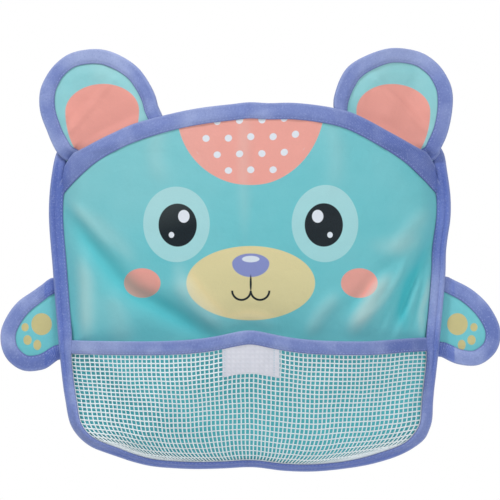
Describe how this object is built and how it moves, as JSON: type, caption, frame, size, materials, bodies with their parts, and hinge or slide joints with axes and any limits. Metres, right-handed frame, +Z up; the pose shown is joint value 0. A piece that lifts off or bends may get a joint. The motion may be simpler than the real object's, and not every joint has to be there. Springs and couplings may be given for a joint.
{
  "type": "bath toy organizer",
  "caption": "Bear-shaped hanging bag for bath toys, with an open main pocket, a net front pocket and suction cups on its back.",
  "frame": {"origin": "on the wall, midway between the two suction cups at the height of their centres", "axes": "+X to the right seen from the front, +Y into the wall, +Z up"},
  "size_m": [0.4064, 0.0931, 0.3436],
  "materials": {
    "teal_cloth": "smooth foam-backed cloth",
    "printed_cloth": "smooth foam-backed cloth with a printed animal face",
    "ear_cloth": "smooth foam-backed cloth with a printed patch",
    "binding_tape": "woven folded tape",
    "net": "square knitted net",
    "label": "plain satin label",
    "clear_cup": "clear soft plastic",
    "eyelet": "moulded plastic"
  },
  "bodies": {
    "bag": {"back_panel": "teal_cloth", "front_panel": "printed_cloth", "outer_binding": "binding_tape", "top_binding": "binding_tape", "net_pocket": "net", "net_binding": "binding_tape", "blank_label": "label", "left_ear_seam_tab": "ear_cloth", "right_ear_seam_tab": "ear_cloth", "left_paw_seam_tab": "teal_cloth", "right_paw_seam_tab": "teal_cloth", "left_eyelet": "eyelet", "left_eyelet_washer": "eyelet", "right_eyelet": "eyelet", "right_eyelet_washer": "eyelet"},
    "left_ear": {"left_ear": "ear_cloth", "left_ear_binding": "binding_tape"},
    "left_paw": {"left_paw": "teal_cloth", "left_paw_binding": "binding_tape"},
    "left_cup": {"left_suction_cup": "clear_cup"},
    "right_ear": {"right_ear": "ear_cloth", "right_ear_binding": "binding_tape"},
    "right_paw": {"right_paw": "teal_cloth", "right_paw_binding": "binding_tape"},
    "right_cup": {"right_suction_cup": "clear_cup"}
  },
  "joints": [
    {"name": "left_ear_fold", "type": "hinge", "parent": "bag", "child": "left_ear", "pos_m": [-0.13923, -0.02342, 0.02439], "axis": [0.821, -0.415, 0.392], "range_deg": [-12, 60], "stiffness_Nm_per_rad": 0.08},
    {"name": "right_ear_fold", "type": "hinge", "parent": "bag", "child": "right_ear", "pos_m": [0.13923, -0.02342, 0.02439], "axis": [0.821, 0.415, -0.392], "range_deg": [-12, 60], "stiffness_Nm_per_rad": 0.08},
    {"name": "left_paw_fold", "type": "hinge", "parent": "bag", "child": "left_paw", "pos_m": [-0.15999, -0.0124, -0.118], "axis": [-0.0842, 0, 0.9964], "range_deg": [-10, 80], "stiffness_Nm_per_rad": 0.05},
    {"name": "right_paw_fold", "type": "hinge", "parent": "bag", "child": "right_paw", "pos_m": [0.15999, -0.0124, -0.118], "axis": [-0.0842, 0, -0.9964], "range_deg": [-10, 80], "stiffness_Nm_per_rad": 0.05},
    {"name": "left_cup_turn", "type": "hinge", "parent": "bag", "child": "left_cup", "pos_m": [-0.112, 0, 0], "axis": [0, 1, 0], "continuous": true},
    {"name": "right_cup_turn", "type": "hinge", "parent": "bag", "child": "right_cup", "pos_m": [0.112, 0, 0], "axis": [0, 1, 0], "continuous": true}
  ]
}
